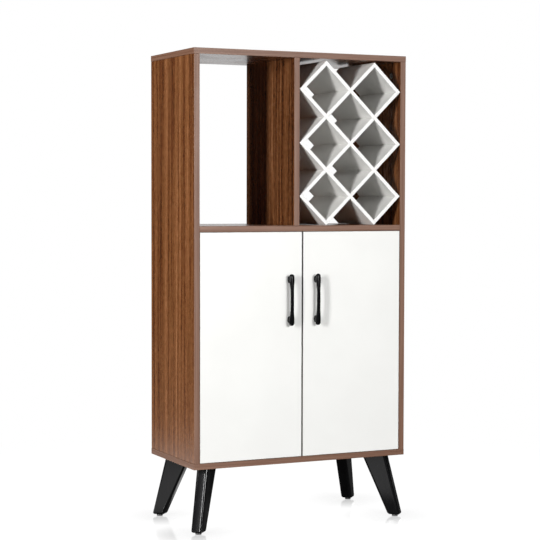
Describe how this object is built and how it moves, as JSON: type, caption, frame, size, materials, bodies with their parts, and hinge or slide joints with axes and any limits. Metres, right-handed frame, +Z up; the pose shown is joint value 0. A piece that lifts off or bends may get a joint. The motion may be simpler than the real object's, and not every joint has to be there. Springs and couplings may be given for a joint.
{
  "type": "wine cabinet",
  "caption": "Upright cabinet on splayed legs: a cupboard with paired doors below, an open display bay and a diagonal lattice bottle rack above.",
  "frame": {"origin": "on the floor, below the middle of the whole cabinet with its handles and feet", "axes": "+Z up, -Y towards the front with the doors, +X to the right when seen from the front"},
  "size_m": [0.6012, 0.318, 1.211],
  "materials": {
    "walnut": "satin walnut laminate, grain upright on the sides",
    "back_board": "thin printed hardboard",
    "white_lacquer": "smooth satin white",
    "white_board": "satin white laminate",
    "black_paint": "satin black paint",
    "black_gloss": "gloss black",
    "black_plastic": "matte black",
    "nickel": "nickel-plated steel",
    "zinc": "cast zinc, dull"
  },
  "bodies": {
    "carcass": {"top_panel": "walnut", "bottom_panel": "walnut", "left_side_panel": "walnut", "right_side_panel": "walnut", "middle_shelf": "walnut", "bay_divider": "walnut", "cupboard_back_panel": "back_board", "cupboard_shelf": "walnut", "cam_lock_top_front_left": "zinc", "cam_lock_top_front_right": "zinc", "cam_lock_top_back_left": "zinc", "cam_lock_top_back_right": "zinc", "cam_lock_bottom_front_left": "zinc", "cam_lock_bottom_front_right": "zinc", "cam_lock_bottom_back_left": "zinc", "cam_lock_bottom_back_right": "zinc", "shelf_pin_front_left": "nickel", "shelf_pin_front_right": "nickel", "shelf_pin_back_left": "nickel", "shelf_pin_back_right": "nickel", "rack_falling_board_1": "white_board", "rack_falling_board_2": "white_board", "rack_falling_board_3": "white_board", "rack_falling_board_4": "white_board", "rack_falling_board_5": "white_board", "rack_rising_board_1": "white_board", "rack_rising_board_2": "white_board", "rack_rising_board_3": "white_board", "rack_rising_board_4": "white_board", "rack_rising_board_5": "white_board", "left_upper_hinge_arm": "nickel", "left_lower_hinge_arm": "nickel", "right_upper_hinge_arm": "nickel", "right_lower_hinge_arm": "nickel", "leg_front_left": "black_paint", "leg_glide_front_left": "black_plastic", "leg_bolt_front_left": "zinc", "leg_front_right": "black_paint", "leg_glide_front_right": "black_plastic", "leg_bolt_front_right": "zinc", "leg_back_left": "black_paint", "leg_glide_back_left": "black_plastic", "leg_bolt_back_left": "zinc", "leg_back_right": "black_paint", "leg_glide_back_right": "black_plastic", "leg_bolt_back_right": "zinc"},
    "left_door": {"left_door": "white_lacquer", "left_handle": "black_gloss", "left_handle_upper_screw": "nickel", "left_handle_lower_screw": "nickel", "left_upper_hinge_cup": "nickel", "left_lower_hinge_cup": "nickel"},
    "right_door": {"right_door": "white_lacquer", "right_handle": "black_gloss", "right_handle_upper_screw": "nickel", "right_handle_lower_screw": "nickel", "right_upper_hinge_cup": "nickel", "right_lower_hinge_cup": "nickel"}
  },
  "joints": [
    {"name": "left_door_hinge", "type": "hinge", "parent": "carcass", "child": "left_door", "pos_m": [-0.2834, -0.13703, 0.4675], "axis": [0, 0, -1], "range_deg": [0, 100]},
    {"name": "right_door_hinge", "type": "hinge", "parent": "carcass", "child": "right_door", "pos_m": [0.2834, -0.13703, 0.4675], "axis": [0, 0, 1], "range_deg": [0, 100]}
  ]
}
